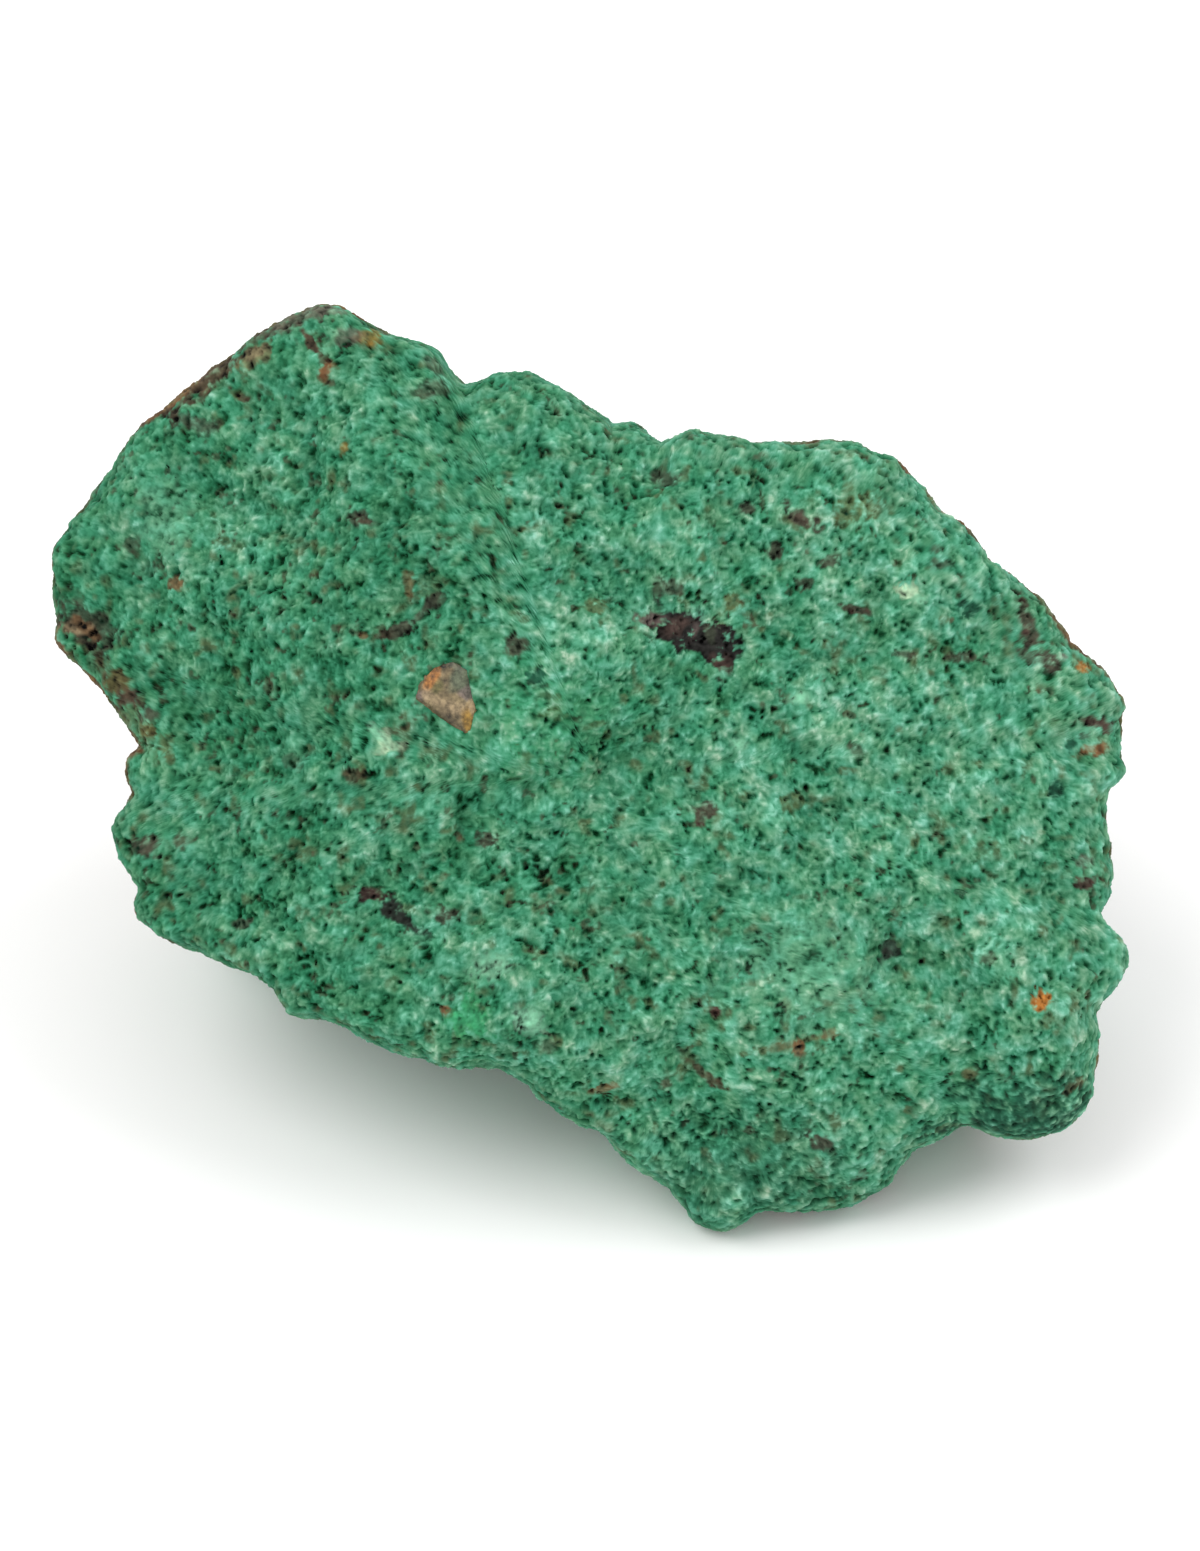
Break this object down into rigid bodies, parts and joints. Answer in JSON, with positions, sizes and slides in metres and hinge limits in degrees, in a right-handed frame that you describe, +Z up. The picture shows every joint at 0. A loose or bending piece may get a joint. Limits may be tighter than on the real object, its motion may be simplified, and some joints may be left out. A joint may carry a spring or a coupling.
{
  "type": "rough brochantite",
  "caption": "Rough chunk of granular green brochantite with one broad broken face, lying on its flat-worn underside.",
  "frame": {"origin": "under the middle of the stone's box, on the surface it rests on", "axes": "+X along the stone's length, to the right as seen from the broad broken face; +Z up; the broad face looks along -Y and up"},
  "size_m": [0.0602, 0.0408, 0.0404],
  "materials": {
    "brochantite": "sugary crystalline, satin"
  },
  "bodies": {
    "root": {"stone": "brochantite"}
  },
  "joints": []
}
